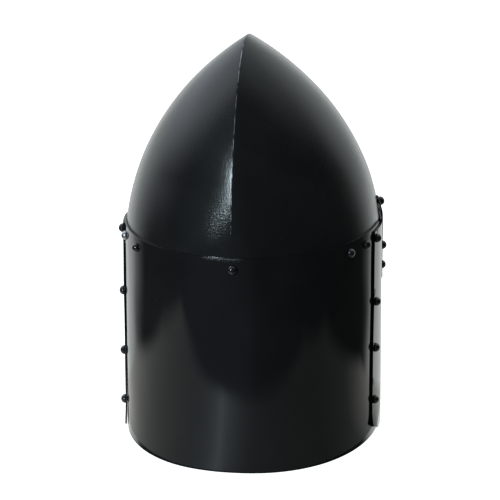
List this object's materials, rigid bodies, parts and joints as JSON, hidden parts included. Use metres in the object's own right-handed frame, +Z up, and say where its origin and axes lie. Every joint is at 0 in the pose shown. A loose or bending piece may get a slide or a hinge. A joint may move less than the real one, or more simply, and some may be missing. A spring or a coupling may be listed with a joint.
{
  "type": "crusader helmet",
  "caption": "Pointed great helm of riveted black-painted steel: ridged skull, back plate, and face plate with sights, breathing holes and an applied cross, to be worn on the head.",
  "frame": {"origin": "on the floor, in the middle of the helm's footprint", "axes": "+Z up to the point of the skull, -Y towards the face, +X to the wearer's left"},
  "size_m": [0.2334, 0.2755, 0.356],
  "materials": {
    "skull_paint": "gloss black paint on sheet steel, lightly dusty and scuffed",
    "plate_paint": "gloss black paint on sheet steel, rubbed along the edges",
    "cross_paint": "gloss black paint on sheet steel",
    "rivet_paint": "gloss black paint on domed steel rivets, some rubbed bright round the rim"
  },
  "bodies": {
    "root": {"back_plate": "plate_paint", "cross": "cross_paint", "face_plate": "plate_paint", "rivet_arm_left_low": "rivet_paint", "rivet_arm_left_top": "rivet_paint", "rivet_arm_right_low": "rivet_paint", "rivet_arm_right_top": "rivet_paint", "rivet_end_left_1": "rivet_paint", "rivet_end_left_2": "rivet_paint", "rivet_end_left_3": "rivet_paint", "rivet_end_right_1": "rivet_paint", "rivet_end_right_2": "rivet_paint", "rivet_end_right_3": "rivet_paint", "rivet_lap_left_1": "rivet_paint", "rivet_lap_left_2": "rivet_paint", "rivet_lap_left_3": "rivet_paint", "rivet_lap_left_4": "rivet_paint", "rivet_lap_right_1": "rivet_paint", "rivet_lap_right_2": "rivet_paint", "rivet_lap_right_3": "rivet_paint", "rivet_lap_right_4": "rivet_paint", "rivet_post_left_bottom": "rivet_paint", "rivet_post_left_top": "rivet_paint", "rivet_post_middle_1": "rivet_paint", "rivet_post_middle_2": "rivet_paint", "rivet_post_middle_3": "rivet_paint", "rivet_post_right_bottom": "rivet_paint", "rivet_post_right_top": "rivet_paint", "rivet_rim_1": "rivet_paint", "rivet_rim_2": "rivet_paint", "rivet_rim_3": "rivet_paint", "rivet_rim_4": "rivet_paint", "rivet_rim_5": "rivet_paint", "skull": "skull_paint"}
  },
  "joints": []
}
